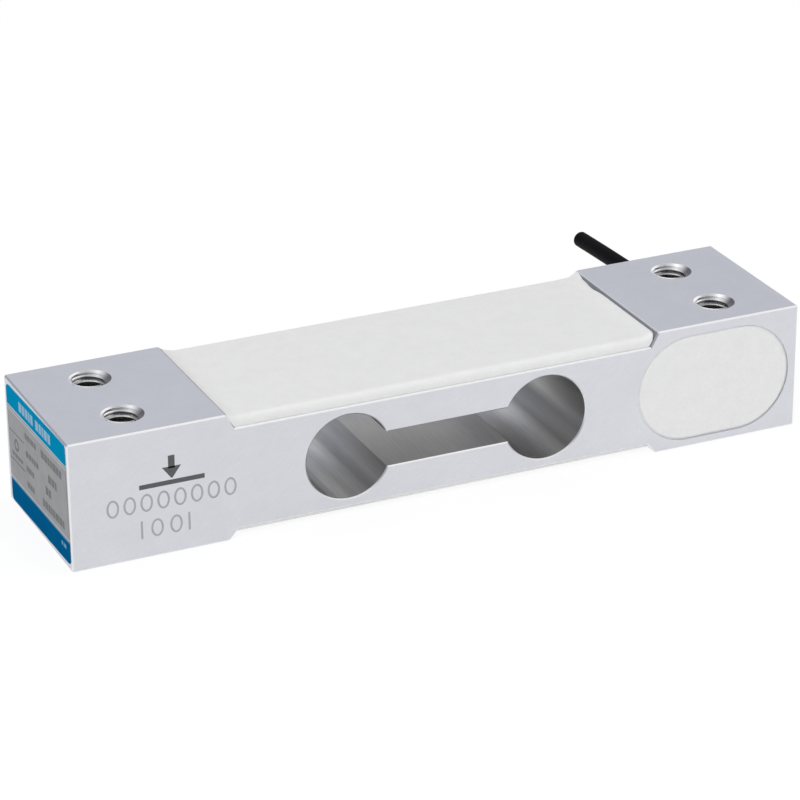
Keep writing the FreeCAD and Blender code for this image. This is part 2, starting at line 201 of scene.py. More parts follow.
# ---- surfaces ----
def grid_faces(rows, columns, rows_closed=False, columns_closed=False):
    """The four-sided faces of a grid of points numbered row by row. A closed direction joins its
    last line of points to its first."""
    last_row = rows if rows_closed else rows - 1
    last_column = columns if columns_closed else columns - 1
    i, j = np.meshgrid(np.arange(last_row), np.arange(last_column), indexing="ij")
    below, beside = (i + 1) % rows, (j + 1) % columns
    corners = [i * columns + j, below * columns + j, below * columns + beside, i * columns + beside]
    return np.stack([corner.ravel() for corner in corners], axis=1)


def gathered(surfaces):
    """Several (points, faces) surfaces as one, with the faces of each renumbered."""
    points, faces, first = [], [], 0
    for some_points, some_faces in surfaces:
        points.append(some_points)
        faces.append(some_faces + first)
        first += len(some_points)
    return np.concatenate(points), np.concatenate(faces)


def make_piece(name, surface, finish, replaces=(), sharp=35.0):
    """A mesh object out of one surface. Points within MERGE_DISTANCE are merged, the faces are
    turned outwards and only edges sharper than the given angle, in degrees, are shaded sharp."""
    points, faces = surface
    mesh = bpy.data.meshes.new(name)
    mesh.from_pydata(points.tolist(), [], faces.tolist())
    mesh.materials.append(finish)
    work = bmesh.new()
    work.from_mesh(mesh)
    bmesh.ops.remove_doubles(work, verts=work.verts, dist=MERGE_DISTANCE)
    bmesh.ops.recalc_face_normals(work, faces=work.faces)
    work.to_mesh(mesh)
    work.free()
    mesh.shade_smooth()
    mesh.set_sharp_from_angle(angle=math.radians(sharp))
    piece = bpy.data.objects.new(name, mesh)
    bpy.context.scene.collection.objects.link(piece)
    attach(piece, BODY)
    if replaces:
        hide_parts(*replaces)
    return piece


def ripples(a, b, length, seed):
    """Slow waves from -1 to 1: the mean of six sine waves of about one length, each running its
    own seeded way across the plane of a and b."""
    draw = np.random.default_rng(seed)
    total = np.zeros(np.broadcast(a, b).shape)
    for turn, stretch, phase in zip(draw.uniform(0, math.pi, 6), draw.uniform(0.7, 1.6, 6),
                                    draw.uniform(0, 2 * math.pi, 6)):
        along = a * math.cos(turn) + b * math.sin(turn)
        total = total + np.sin(2 * math.pi * along / (length * stretch) + phase)
    return total / 6


def smooth_step(value, low, high):
    """0 below low, 1 above high, and 3t^2 - 2t^3 between them."""
    t = np.clip((value - low) / (high - low), 0, 1)
    return t * t * (3 - 2 * t)


def edge_drop(distance, radius):
    """How far a quarter-round edge lies below its surface: a circle's drop, radius less the root
    of radius^2 - (radius - distance)^2, which ends where the distance reaches the radius."""
    inside = np.clip(radius - distance, 0, radius)
    return radius - np.sqrt(np.maximum(radius * radius - inside * inside, 0))


def crowded(count):
    """Shares from 0 to 1 that lie closer together near both ends, along half a cosine wave."""
    return 0.5 - 0.5 * np.cos(np.linspace(0, math.pi, count))


def closed_block(top, bottom):
    """A closed solid between two grids of equal size: the upper one, the lower one with its
    columns turned round, and a wall down each of the four sides."""
    rows, columns = top.shape[:2]
    cap = grid_faces(rows, columns)
    points = np.concatenate([top.reshape(-1, 3), bottom.reshape(-1, 3)])
    ring = np.concatenate([
        np.arange(columns), np.arange(1, rows) * columns + columns - 1,
        (rows - 1) * columns + np.arange(columns - 2, -1, -1),
        np.arange(rows - 2, 0, -1) * columns])
    following = np.roll(ring, -1)
    under = rows * columns
    wall = np.stack([ring, following, following + under, ring + under], axis=1)
    return points, np.concatenate([cap, cap[:, ::-1] + under, wall])


def turned(profile, centre, sides):
    """A closed profile of (radius, y) points carried round an axis that runs along Y."""
    angle = np.linspace(0, 2 * math.pi, sides, endpoint=False)
    radius, along = profile[:, 0][None, :], profile[:, 1][None, :]
    points = np.stack([centre[0] + radius * np.cos(angle)[:, None],
                       along + 0 * angle[:, None],
                       centre[1] + radius * np.sin(angle)[:, None]], axis=-1)
    return points.reshape(-1, 3), grid_faces(sides, len(profile), True, True)


def smooth_line(route):
    """Points read from the NURBS spline of a given route, which has no thickness."""
    curve = bpy.data.curves.new("line", "CURVE")
    curve.dimensions = "3D"
    spline = curve.splines.new("NURBS")
    spline.points.add(len(route) - 1)
    for point, place in zip(spline.points, route):
        point.co = (*place, 1.0)
    spline.order_u = 3
    spline.use_endpoint_u = True
    spline.resolution_u = 24
    holder = bpy.data.objects.new("line", curve)
    mesh = bpy.data.meshes.new_from_object(holder)
    line = np.empty(len(mesh.vertices) * 3)
    mesh.vertices.foreach_get("co", line)
    bpy.data.objects.remove(holder)
    bpy.data.curves.remove(curve)
    bpy.data.meshes.remove(mesh)
    return line.reshape(-1, 3)


def line_frames(line):
    """How far along a line each of its points is, and the sideways and upward directions there:
    sideways is square to the tangent and to Z, and upward is square to both."""
    steps = np.linalg.norm(np.diff(line, axis=0), axis=1)
    along = np.concatenate([[0], np.cumsum(steps)])
    tangent = np.gradient(line, axis=0)
    tangent /= np.linalg.norm(tangent, axis=1)[:, None]
    aside = np.cross(tangent, (0, 0, 1))
    aside /= np.linalg.norm(aside, axis=1)[:, None]
    return along, aside, np.cross(aside, tangent)


def carried(line, stations, radii, sides):
    """A round skin along a line: at each station, a distance along it, a ring of the given radius.
    Stations and radii that return to their start make a closed skin."""
    along, aside, upward = line_frames(line)

    def at(values):
        """The values of the line's points, taken at the stations."""
        return np.stack([np.interp(stations, along, values[:, k]) for k in range(3)], axis=1)

    centre, aside, upward = at(line), at(aside), at(upward)
    angle = np.linspace(0, 2 * math.pi, sides, endpoint=False)
    ring = (aside[:, None, :] * np.cos(angle)[None, :, None]
            + upward[:, None, :] * np.sin(angle)[None, :, None])
    return centre[:, None, :] + ring * np.reshape(radii, (-1, 1, 1))


def tube_wall(line, outer, inner, sides, rows, lip):
    """A tube with a wall: out along its outer radius, over a chamfered lip and back inside."""
    length = line_frames(line)[0][-1]
    there = np.linspace(0, length - lip, rows)
    stations = np.concatenate([there, [length, length], there[::-1]])
    radii = np.concatenate([np.full(rows, outer), [outer - lip, inner + lip], np.full(rows, inner)])
    skin = carried(line, stations, radii, sides)
    return skin.reshape(-1, 3), grid_faces(len(stations), sides, True, True)


def solid_rod(line, radius, sides, rows, lip=0.05 * MM):
    """A round rod along a line, closed at both ends by a ring that shrinks to a point."""
    length = line_frames(line)[0][-1]
    middle = np.linspace(0, length, rows)
    stations = np.concatenate([[0, 0], middle[:-1], [length - lip, length, length]])
    radii = np.concatenate([[0, radius], np.full(rows - 1, radius), [radius, radius - lip, 0]])
    skin = carried(line, stations, radii, sides)
    return skin.reshape(-1, 3), grid_faces(len(stations), sides, False, True)


# ---- shader nodes ----
def node(tree, kind, inputs=None, **settings):
    """A new node. Each input is a value, or the socket of another node that it is joined to."""
    new = tree.nodes.new(kind)
    for name, value in settings.items():
        setattr(new, name, value)
    for name, value in (inputs or {}).items():
        if isinstance(value, bpy.types.NodeSocket):
            tree.links.new(value, new.inputs[name])
        else:
            new.inputs[name].default_value = value
    return new


def math_node(tree, operation, *values, clamp=False):
    """The output of a Math node that works on one to three values or sockets."""
    inputs = {index: value for index, value in enumerate(values)}
    return node(tree, "ShaderNodeMath", inputs, operation=operation, use_clamp=clamp).outputs[0]


def product(tree, first, *others):
    """The product of several values or sockets."""
    for other in others:
        first = math_node(tree, "MULTIPLY", first, other)
    return first


def parts_of(tree, vector):
    """The x, y and z sockets of a vector."""
    split = node(tree, "ShaderNodeSeparateXYZ", {"Vector": vector})
    return [split.outputs[axis] for axis in "XYZ"]


def length_of(tree, vector):
    """The length of a vector socket."""
    return node(tree, "ShaderNodeVectorMath", {0: vector}, operation="LENGTH").outputs["Value"]


def remapped(tree, value, low, high, start=0.0, end=1.0):
    """A value between low and high, moved to the same place between start and end."""
    inputs = {"Value": value, "From Min": low, "From Max": high, "To Min": start, "To Max": end}
    return node(tree, "ShaderNodeMapRange", inputs, clamp=True).outputs[0]


def between(tree, value, low, high, fade=EDGE_FADE):
    """1 where a value lies from low to high and 0 outside, with a soft edge."""
    return product(tree, remapped(tree, value, low - fade, low + fade),
                   remapped(tree, value, high + fade, high - fade))


def mixed(tree, factor, first, second, blend="MIX"):
    """A colour between two colours or sockets."""
    mix = node(tree, "ShaderNodeMix", data_type="RGBA", blend_type=blend)
    colour_inputs = [socket for socket in mix.inputs if socket.type == "RGBA"]
    for socket, value in zip([mix.inputs[0], *colour_inputs], (factor, first, second)):
        if isinstance(value, bpy.types.NodeSocket):
            tree.links.new(value, socket)
        else:
            socket.default_value = (*value[:3], 1.0) if socket.type == "RGBA" else value
    return next(socket for socket in mix.outputs if socket.type == "RGBA")


def mixed_value(tree, factor, first, second):
    """A number between two numbers or sockets."""
    return remapped(tree, factor, 0.0, 1.0, first, second)


def ramp(tree, factor, stops, interpolation="LINEAR"):
    """The colour output of a ramp with the given (place, colour) stops."""
    new = node(tree, "ShaderNodeValToRGB", {"Fac": factor})
    new.color_ramp.interpolation = interpolation
    elements = new.color_ramp.elements
    while len(elements) < len(stops):
        elements.new(0.5)
    for element, (place, colour) in zip(elements, stops):
        element.position = place
        element.color = (*colour[:3], 1.0)
    return new.outputs["Color"]


def shade(colour, share):
    """The same colour made lighter or darker."""
    return tuple(min(1.0, value * share) for value in colour[:3])


def painted_light_ramp(tree, up, across, bands, colour=(1.0, 1.0, 1.0)):
    """Painted light and shade: a colour that gets lighter and darker with the direction from an
    axis. Each band is an angle in degrees, from -180 to 180, and the share of the colour there."""
    turn = math_node(tree, "ARCTAN2", up, across)
    share = math_node(tree, "MULTIPLY_ADD", turn, 1 / (2 * math.pi), 0.5)
    return ramp(tree, share, [((degrees + 180) / 360, shade(colour, tone))
                              for degrees, tone in bands])


def new_group(name, inputs, outputs):
    """An empty shader node group with named sockets, and its inner input and output nodes."""
    group = bpy.data.node_groups.new(name, "ShaderNodeTree")
    for label, kind, default in inputs:
        socket = group.interface.new_socket(name=label, in_out="INPUT", socket_type=kind)
        if default is not None:
            socket.default_value = default
    for label, kind in outputs:
        group.interface.new_socket(name=label, in_out="OUTPUT", socket_type=kind)
    return group, group.nodes.new("NodeGroupInput"), group.nodes.new("NodeGroupOutput")


def grain_group():
    """Fine, even noise of one grain size, for cast, blasted and printed surfaces."""
    name = "Grain"
    if name in bpy.data.node_groups:
        return bpy.data.node_groups[name]
    group, inner, outer = new_group(
        name, [("Vector", "NodeSocketVector", None), ("Size", "NodeSocketFloat", 0.3 * MM),
               ("Contrast", "NodeSocketFloat", 1.0)], [("Factor", "NodeSocketFloat")])
    scale = math_node(group, "DIVIDE", 1.0, inner.outputs["Size"])
    noise = node(group, "ShaderNodeTexNoise", {
        "Vector": inner.outputs["Vector"], "Scale": scale, "Detail": 3.0, "Roughness": 0.6})
    centred = math_node(group, "SUBTRACT", noise.outputs["Fac"], 0.5)
    spread = product(group, centred, inner.outputs["Contrast"])
    group.links.new(math_node(group, "ADD", spread, 0.5, clamp=True), outer.inputs["Factor"])
    return group


def tint_group():
    """Two near colours that change places slowly over a surface, with a second, finer layer."""
    name = "Slow tint"
    if name in bpy.data.node_groups:
        return bpy.data.node_groups[name]
    group, inner, outer = new_group(
        name, [("Vector", "NodeSocketVector", None), ("Size", "NodeSocketFloat", 5 * MM),
               ("First", "NodeSocketColor", None), ("Second", "NodeSocketColor", None)],
        [("Color", "NodeSocketColor")])
    scale = math_node(group, "DIVIDE", 1.0, inner.outputs["Size"])
    noise = node(group, "ShaderNodeTexNoise", {
        "Vector": inner.outputs["Vector"], "Scale": scale, "Detail": 5.0, "Roughness": 0.62})
    factor = remapped(group, noise.outputs["Fac"], 0.3, 0.7)
    colour = mixed(group, factor, inner.outputs["First"], inner.outputs["Second"])
    group.links.new(colour, outer.inputs["Color"])
    return group


def lines_group():
    """Uneven fine lines, as a cutter, a die or a brush leaves them: noise stretched along them."""
    name = "Tool lines"
    if name in bpy.data.node_groups:
        return bpy.data.node_groups[name]
    group, inner, outer = new_group(
        name, [("Vector", "NodeSocketVector", None), ("Pitch", "NodeSocketFloat", 0.1 * MM),
               ("Stretch", "NodeSocketVector", (1.0, 1.0, 1.0))],
        [("Factor", "NodeSocketFloat")])
    squeezed = node(group, "ShaderNodeVectorMath", {
        0: inner.outputs["Vector"], 1: inner.outputs["Stretch"]}, operation="MULTIPLY")
    scale = math_node(group, "DIVIDE", 1.0, inner.outputs["Pitch"])
    noise = node(group, "ShaderNodeTexNoise", {
        "Vector": squeezed.outputs[0], "Scale": scale, "Detail": 2.0, "Roughness": 0.5})
    group.links.new(noise.outputs["Fac"], outer.inputs["Factor"])
    return group


def mouth_place(tree, place):
    """Where a point lies from the axis of its bolt hole: x less the hole's own x with the sign of
    x, and the same for y."""
    parts = [math_node(tree, "SUBTRACT", value, product(
        tree, math_node(tree, "SIGN", value), reach))
        for value, reach in zip(parts_of(tree, place), (HOLE_X, HOLE_Y))]
    return node(tree, "ShaderNodeCombineXYZ", {"X": parts[0], "Y": parts[1]}).outputs[0]


# Painted light and shade round the mouth of a bolt hole: angle round its axis in degrees, and how
# light it is.
MOUTH_PAINTED_LIGHT = ((-180, 0.95), (-120, 0.80), (-30, 0.30), (0, 0.26), (25, 0.70), (45, 0.92),
               (62, 0.62), (80, 0.48), (96, 0.55), (112, 1.0), (180, 1.0))
# The depth over which a hole's metal turns from its mouth's tone to the deep one, a painted shade.
DEEP_START, DEEP_END, DEEP_PAINTED_SHADE = 0.6 * MM, 1.7 * MM, (0.27, 0.27, 0.275)


def painted_hole_light_group():
    """Cut metal in the bolt holes with painted light: painted light and shade in bands round each
    mouth, and a painted shade further down, where little light reaches."""
    name = "Hole metal"
    if name in bpy.data.node_groups:
        return bpy.data.node_groups[name]
    group, inner, outer = new_group(
        name, [("Vector", "NodeSocketVector", None)], [("Color", "NodeSocketColor")])
    place = inner.outputs["Vector"]
    across, up = parts_of(group, mouth_place(group, place))[:2]
    # painted light and shade in bands round the mouth
    mouth = painted_light_ramp(group, up, across, MOUTH_PAINTED_LIGHT)
    height = parts_of(group, place)[2]
    from_top = math_node(group, "SUBTRACT", BEAM_HIGH.z, height)
    depth = math_node(group, "MINIMUM", height, from_top)
    # painted shade further down the hole
    colour = mixed(group, remapped(group, depth, DEEP_START, DEEP_END), mouth, DEEP_PAINTED_SHADE)
    group.links.new(colour, outer.inputs["Color"])
    return group


def use_group(tree, group, **inputs):
    """A placed group; the names of its inputs are given in lower case."""
    placed = node(tree, "ShaderNodeGroup", node_tree=group)
    for name, value in inputs.items():
        socket = placed.inputs[name.capitalize()]
        if isinstance(value, bpy.types.NodeSocket):
            tree.links.new(value, socket)
        elif socket.type == "RGBA":
            socket.default_value = (*value[:3], 1.0)
        else:
            socket.default_value = value
    return placed.outputs[0]


def new_finish(name, **constants):
    """A material, its node tree, its Principled shader with plain constant settings, and the
    socket that gives a point's place on the object."""
    finish = bpy.data.materials.new(name)
    finish.use_nodes = True
    tree = finish.node_tree
    shader = tree.nodes["Principled BSDF"]
    for label, value in constants.items():
        socket = shader.inputs[label.replace("_", " ").title().replace("Ior", "IOR")]
        socket.default_value = (*value, 1.0) if socket.type == "RGBA" else value
    place = node(tree, "ShaderNodeTexCoord").outputs["Object"]
    return finish, tree, shader, place


def feed(tree, shader, height, depth, **sockets):
    """Joins sockets to the shader's inputs, which are named in lower case, and turns a 0 to 1
    height into a bump of a real depth in metres."""
    for label, socket in sockets.items():
        tree.links.new(socket, shader.inputs[label.replace("_", " ").title()])
    bump = node(tree, "ShaderNodeBump", {"Height": height, "Distance": depth, "Strength": 1.0})
    tree.links.new(bump.outputs["Normal"], shader.inputs["Normal"])


# ---- finishes ----
def plain_finish(name, colour, roughness, metallic=0.0, grain=0.4 * MM, depth=0.004 * MM,
                 change=0.06, **constants):
    """A moulded, coated or plain metal surface: a slow change of tint, fine grain in its
    roughness and a very shallow bump."""
    finish, tree, shader, place = new_finish(name, metallic=metallic, **constants)
    tint = use_group(tree, tint_group(), vector=place, size=grain * 9,
                     first=shade(colour, 1 - change), second=shade(colour, 1 + change))
    fine = use_group(tree, grain_group(), vector=place, size=grain, contrast=1.4)
    rough = mixed_value(tree, fine, roughness * 0.85, min(1.0, roughness * 1.15))
    feed(tree, shader, fine, depth, base_color=tint, roughness=rough)
    return finish


# Greys of bright-cut edges, of the bores' rims and of the slope in the top silicone's shadow.
CUT_EDGE, BORE_RIM, SHADED_SLOPE = (0.87, 0.87, 0.88), (0.82, 0.82, 0.83), (0.42, 0.42, 0.43)

# The bare silver part of the label, between the heights of its header and its footer, in mm.
SILVER_LOW, SILVER_HIGH = 5.25, 17.15

# Painted light and shade along each bore: angle round its axis in degrees, and how light the wall is
# there.
# The first line is for the bore on the side of the load end, the second for the cable's side.
BORE_PAINTED_LIGHT = (
    ((-180, 0.75), (-122, 1.2), (-114, 1.9), (-108, 1.8), (-102, 2.3), (-92, 2.3), (-84, 2.0),
     (-75, 2.3), (-66, 1.95), (-60, 1.4), (-54, 1.5), (-46, 1.95), (-36, 1.65), (-28, 1.4),
     (8, 0.8), (90, 0.7), (150, 1.0), (180, 0.75)),
    ((-180, 0.75), (-122, 1.4), (-108, 2.0), (-90, 1.88), (-82, 2.1), (-72, 2.3), (-66, 2.25),
     (-60, 1.85), (-54, 1.22), (-45, 1.42), (-36, 1.18), (-30, 0.95), (-18, 1.32), (-6, 1.06),
     (18, 1.03), (90, 0.7), (150, 1.0), (180, 0.75)))


def bore_metal_with_painted_light(tree, place, lines):
    """The mask and the colour of the bare metal inside the bores and the slot, with painted light
    and shade in bands along each bore, and how far a point lies from its own bore's axis."""
    x, y, z = parts_of(tree, place)
    side = math_node(tree, "SIGN", x)
    across = math_node(tree, "SUBTRACT", x, product(tree, side, BORE_X))
    above = math_node(tree, "SUBTRACT", z, BORE_Z)
    reach = length_of(tree, node(tree, "ShaderNodeCombineXYZ", {
        "X": across, "Z": above}).outputs[0])
    in_bore = between(tree, reach, -NO_LIMIT, BORE_RADIUS + 0.06 * MM)
    half = SLOT_HALF_HEIGHT + 0.05 * MM
    in_slot = product(tree, between(tree, x, -BORE_X, BORE_X), between(tree, above, -half, half))
    depth = BEAM_HIGH.y - RIM_BREAK
    inside = product(tree, math_node(tree, "MAXIMUM", in_bore, in_slot),
                     between(tree, y, -depth, depth))
    wall = colours().bore_wall
    # painted light and shade in bands round each bore
    left, right = [painted_light_ramp(tree, above, across, bands, wall) for bands in BORE_PAINTED_LIGHT]
    on_right = between(tree, side, 0.5, 1.5, 0.1)
    metal = mixed(tree, on_right, left, right)
    # painted light: the slot's flat faces are painted twice as light as the wall
    on_slot_face = product(tree, in_slot, between(tree, reach, BORE_RADIUS, NO_LIMIT))
    metal = mixed(tree, on_slot_face, metal, shade(wall, 2.0))
    return inside, mixed(tree, product(tree, lines, 0.35), metal, shade(wall, 0.6)), reach


def beam_face(tree, place, grain):
    """Anodised faces: a slow tint, fine blasted grain and faint slanted mill lines."""
    aluminium = colours().aluminium
    face = use_group(tree, tint_group(), vector=place, size=6 * MM,
                     first=shade(aluminium, 0.97), second=shade(aluminium, 1.02))
    slanted = node(tree, "ShaderNodeMapping", {
        "Vector": place, "Rotation": (0.0, math.radians(35), 0.0)}).outputs[0]
    lines = use_group(tree, lines_group(), vector=slanted, pitch=0.35 * MM,
                      stretch=(0.12, 1.0, 1.0))
    speckle = remapped(tree, product(tree, grain, lines), 0.12, 0.42, 0.0, 0.5)
    return mixed(tree, speckle, face, shade(aluminium, 0.92))


def beam_finish():
    """Clear anodised aluminium. The edges and countersinks are cut bright after anodising, the
    countersinks with painted light and shade round them, and the bores and the slot keep bare,
    darker metal with painted light and shade in bands along them."""
    finish, tree, shader, place = new_finish("anodised_aluminium", metallic=1.0)
    grain = use_group(tree, grain_group(), vector=place, size=0.22 * MM, contrast=1.6)
    lines = use_group(tree, lines_group(), vector=place, pitch=0.25 * MM, stretch=(1.0, 0.05, 1.0))
    inside, metal, reach = bore_metal_with_painted_light(tree, place, lines)
    # bright-cut edges: a chamfer's normal has two equal parts, each the root of a half
    normal = node(tree, "ShaderNodeNewGeometry").outputs["True Normal"]
    slants = parts_of(tree, node(
        tree, "ShaderNodeVectorMath", {0: normal}, operation="ABSOLUTE").outputs[0])
    tilted = [between(tree, slant, 0.69, 0.73, 0.01) for slant in slants]
    cut = math_node(tree, "ADD", tilted[0], math_node(tree, "ADD", *tilted[1:]), clamp=True)
    cut = product(tree, cut, math_node(tree, "SUBTRACT", 1.0, inside))
    rim = between(tree, reach, BORE_RADIUS, BORE_RADIUS + 0.24 * MM)
    near_hole = between(tree, length_of(tree, mouth_place(tree, place)), -NO_LIMIT,
                        COUNTERSINK_RADIUS - 0.02 * MM, 0.01 * MM)
    bright = math_node(tree, "MAXIMUM", cut, near_hole)
    # the countersinks carry the bolt holes' painted light and shade
    cut_edge_and_painted_hole_light = mixed(tree, near_hole, CUT_EDGE, use_group(tree, painted_hole_light_group(), vector=place))
    colour = mixed(tree, bright, beam_face(tree, place, grain), cut_edge_and_painted_hole_light)
    colour = mixed(tree, product(tree, rim, cut), colour, BORE_RIM)
    # the slope behind the top silicone stays in its shadow
    x, _, z = parts_of(tree, place)
    slope = product(
        tree, between(tree, x, PAD_HIGH.x - 1.0 * MM, PAD_HIGH.x + 0.4 * MM, 0.01 * MM),
        between(tree, z, PAD_LOW.z, BEAM_HIGH.z - 0.06 * MM, 0.01 * MM),
        between(tree, slants[1], -NO_LIMIT, 0.1, 0.01))
    # inside the bores and the slot, the bare metal with its painted light and shade
    colour = mixed(tree, inside, mixed(tree, slope, colour, SHADED_SLOPE), metal)
    rough = mixed_value(tree, bright, mixed_value(tree, grain, 0.42, 0.52), 0.24)
    rough = mixed_value(tree, math_node(tree, "MAXIMUM", rim, near_hole), rough, 0.36)
    rough = mixed_value(tree, inside, rough, 0.42)
    height = mixed(tree, inside, mixed(tree, bright, grain, (0.5, 0.5, 0.5)), lines)
    feed(tree, shader, height, 0.002 * MM, base_color=colour, roughness=rough)
    return finish


def thread_finish():
    """Bare cut aluminium: bright, with fine lines that follow the turns, over the bolt holes'
    painted light and shade.
    """
    finish, tree, shader, place = new_finish("cut_aluminium", metallic=1.0)
    lines = use_group(tree, lines_group(), vector=place, pitch=0.08 * MM, stretch=(0.2, 0.2, 1.0))
    # painted light and shade of the bolt holes
    metal = use_group(tree, painted_hole_light_group(), vector=place)
    feed(tree, shader, lines, 0.006 * MM, roughness=mixed_value(tree, lines, 0.18, 0.36),
         base_color=mixed(tree, product(tree, lines, 0.2), metal, (0.85, 0.85, 0.86)))
    return finish


def silicone_finish(name, colour, grain=0.35 * MM):
    """Poured silicone rubber: soft, a little see-through at its edges, matt with a faint gloss."""
    finish, tree, shader, place = new_finish(
        name, roughness=0.5, subsurface_weight=0.25, subsurface_radius=(1.0, 0.95, 0.9),
        subsurface_scale=0.6 * MM, specular_ior_level=0.4)
    tint = use_group(tree, tint_group(), vector=place, size=2.5 * MM,
                     first=shade(colour, 0.965), second=shade(colour, 1.015))
    fine = use_group(tree, grain_group(), vector=place, size=grain, contrast=1.8)
    speckled = mixed(tree, product(tree, fine, 0.6), tint, shade(colour, 0.9))
    feed(tree, shader, fine, 0.025 * MM, base_color=speckled,
         roughness=mixed_value(tree, fine, 0.42, 0.6))
    return finish


def film_finish():
    """Silver label film with its printed bands: a header and a footer of blue between thin pale
    lines. The bands follow the film's own tilt."""
    palette = colours()
    finish, tree, shader, place = new_finish("label_silver_film", specular_ior_level=0.02, ior=1.05)
    level = label_level(tree, place)
    pale, thin = srgb(196, 199, 203), srgb(120, 150, 175)

    def share(height):
        """A height in millimetres as a share of the film's own height."""
        return max(0.0, (height * MM - FILM_LOW.z) / (FILM_HIGH.z - FILM_LOW.z))

    bands = ramp(tree, level, [(share(height), colour) for height, colour in (
        (0.0, palette.footer), (4.62, thin), (4.9, pale), (SILVER_LOW, palette.film),
        (SILVER_HIGH, pale), (17.45, thin), (17.6, pale), (17.9, palette.header))], "CONSTANT")
    tint = use_group(tree, tint_group(), vector=place, size=3 * MM,
                     first=(0.86, 0.87, 0.88), second=(1.0, 1.0, 1.0))
    fine = use_group(tree, grain_group(), vector=place, size=0.25 * MM, contrast=1.2)
    silver = between(tree, level, share(SILVER_LOW), share(SILVER_HIGH), 0.002)
    feed(tree, shader, fine, 0.003 * MM, base_color=mixed(tree, 1.0, bands, tint, "MULTIPLY"),
         metallic=product(tree, silver, 0.35), roughness=mixed_value(tree, fine, 0.36, 0.5))
    return finish


def label_level(tree, place):
    """How high a point is on the label, from 0 at its lower edge to 1 at its upper edge."""
    level = node(tree, "ShaderNodeMapping", {
        "Vector": place, "Location": (0.0, FILM_MIDDLE.y * LABEL_TILT, 0.0),
        "Rotation": (LABEL_TILT, 0.0, 0.0)}).outputs[0]
    return remapped(tree, parts_of(tree, level)[2], FILM_LOW.z, FILM_HIGH.z)


def braid_finish():
    """Tinned copper braid: two sets of strands that cross, as waves that slant both ways."""
    finish, tree, shader, place = new_finish("tinned_braid", metallic=1.0, roughness=0.34)
    slants = []
    for turn in (-1, 1):
        mapped = node(tree, "ShaderNodeMapping", {
            "Vector": place, "Rotation": (0.0, 0.0, math.radians(35 * turn))}).outputs[0]
        slants.append(node(tree, "ShaderNodeTexWave", {
            "Vector": mapped, "Scale": 900.0, "Distortion": 0.6}).outputs["Fac"])
    weave = math_node(tree, "MAXIMUM", *slants)
    feed(tree, shader, weave, 0.04 * MM,
         base_color=mixed(tree, weave, (0.30, 0.29, 0.28), (0.78, 0.78, 0.76)))
    return finish


def board_finish():
    """Green solder mask with the glass weave just showing, over a grid of copper tracks."""
    finish, tree, shader, place = new_finish("board_green_mask", metallic=0.0)
    weave = use_group(tree, lines_group(), vector=place, pitch=0.3 * MM, stretch=(1.0, 1.0, 0.15))
    colour = mixed(tree, weave, (0.02, 0.20, 0.08), (0.06, 0.34, 0.15))
    tracks = node(tree, "ShaderNodeTexBrick", {
        "Vector": node(tree, "ShaderNodeMapping", {
            "Vector": place, "Rotation": (math.radians(90), 0.0, 0.0)}).outputs[0],
        "Scale": 350.0, "Mortar Size": 0.04, "Color1": (0, 0, 0, 1), "Color2": (0, 0, 0, 1),
        "Mortar": (1, 1, 1, 1)})
    copper = tracks.outputs["Fac"]
    colour = mixed(tree, product(tree, copper, 0.5), colour, (0.20, 0.42, 0.16))
    feed(tree, shader, copper, 0.02 * MM, base_color=colour,
         roughness=mixed_value(tree, weave, 0.28, 0.45))
    return finish


def dress_node(name, finish):
    """Gives a carried-over node its finish."""
    mesh = frame["nodes"][name].data
    mesh.materials.clear()
    mesh.materials.append(finish)


# ---- pieces ----
def make_cord():
    """The jacket as a tube with a wall, and the braid and four twisted cores that its cut end
    shows."""
    line = smooth_line(CABLE_ROUTE)
    jacket = plain_finish("jacket_pvc", colours().jacket, 0.6, grain=0.5 * MM,
                          depth=0.02 * MM, change=0.12, specular_ior_level=0.06)
    jacket_wall = tube_wall(line, JACKET_RADIUS, JACKET_BORE, sides=48, rows=90, lip=0.06 * MM)
    braid_wall = tube_wall(line, JACKET_BORE, SHIELD_BORE, sides=32, rows=60, lip=0.01 * MM)
    piece = make_piece("cable", jacket_wall, jacket, ["cable_jacket"])
    braid = make_piece("cable_braid", braid_wall, braid_finish(),
                       ["cable_shield"])
    inner = [make_core(name, line) for name in CORE_PADS]


def make_core(name, line):
    """One insulated core: from its pad on the board into the bore, then round the cable's line as
    it twists, to the cut end."""
    tones = {"red": srgb(196, 32, 30), "black": srgb(26, 26, 28), "green": srgb(34, 140, 66),
             "white": srgb(232, 232, 228)}
    shallow = name in ("red", "white")
    aside = CORE_PITCH if shallow else -CORE_PITCH
    pad = CORE_PADS[name]
    lift = CORE_PITCH if pad > CABLE_EXIT[2] else -CORE_PITCH
    start = np.array(CABLE_ROUTE[0])
    depth = POTTING_HIGH.y - (2.45 if shallow else 1.6) * MM
    lead = smooth_line([
        (BOARD_HIGH.x - 0.7 * MM, BOARD_LOW.y - 0.38 * MM, pad),
        (BOARD_HIGH.x + 1.8 * MM, depth, pad + (CABLE_EXIT[2] - pad) * 0.1),
        (start[0] + aside, depth, start[2] + lift), (start[0] + aside, start[1], start[2] + lift)])
    path = np.concatenate([lead[:-1], twisted_line(line, aside, lift)])
    finish = plain_finish(f"insulation_{name}_pvc", tones[name], 0.32, grain=0.3 * MM)
    return make_piece(f"cable_core_{name}", solid_rod(path, CORE_RADIUS, sides=14, rows=120),
                      finish, [f"core_{name}"])


def twisted_line(line, aside, lift):
    """The cable's line moved out by a core's offset, which turns evenly from the bore's end on."""
    along, sideways, upward = line_frames(line)
    turn = 2 * math.pi * np.clip(along - TWIST_START, 0, None) / sizes().core_lay
    right = aside * np.cos(turn) - lift * np.sin(turn)
    up = aside * np.sin(turn) + lift * np.cos(turn)
    return line + sideways * right[:, None] + upward * up[:, None]


